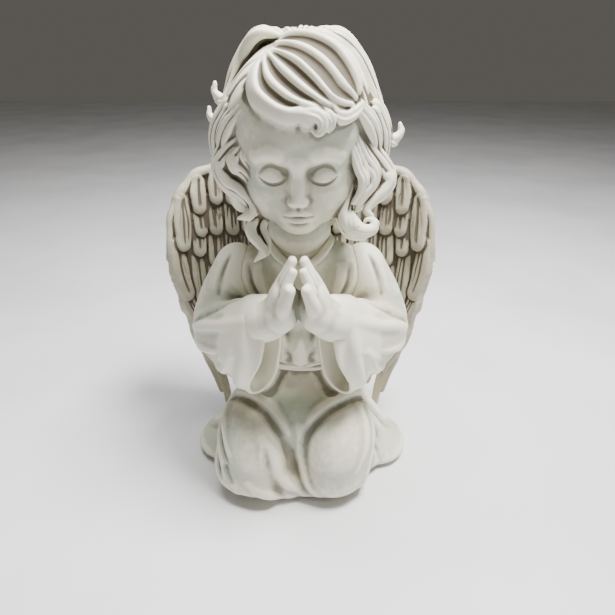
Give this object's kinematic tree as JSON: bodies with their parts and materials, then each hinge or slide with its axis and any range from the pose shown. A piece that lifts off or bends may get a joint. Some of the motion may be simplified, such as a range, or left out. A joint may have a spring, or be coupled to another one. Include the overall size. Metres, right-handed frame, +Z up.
{
  "type": "resin angel figurine",
  "caption": "Free-standing cast resin figurine of a kneeling, praying child angel with folded wings, on felt pads.",
  "frame": {"origin": "middle of the footprint, on the plane the felt pads stand on", "axes": "+Z up; the figure faces -Y, so its own left hand and left wing are at +X"},
  "size_m": [0.1964, 0.1443, 0.3],
  "materials": {
    "resin": "matt ivory resin with a grey-brown wash left in the recesses",
    "steel_dowel": "plain drawn wire",
    "plate_resin": "unpainted resin",
    "plug_rubber": "matt black rubber",
    "felt": "pressed felt"
  },
  "bodies": {
    "root": {"robe_body": "resin", "head": "resin", "left_sleeve": "resin", "right_sleeve": "resin", "praying_hands": "resin", "left_wing": "resin", "right_wing": "resin", "neck_dowel": "steel_dowel", "left_arm_dowel": "steel_dowel", "right_arm_dowel": "steel_dowel", "left_wing_dowel_high": "steel_dowel", "left_wing_dowel_low": "steel_dowel", "right_wing_dowel_high": "steel_dowel", "right_wing_dowel_low": "steel_dowel", "base_plate": "plate_resin", "vent_plug": "plug_rubber", "felt_pad_front_left": "felt", "felt_pad_front_right": "felt", "felt_pad_back_left": "felt", "felt_pad_back_right": "felt"}
  },
  "joints": []
}
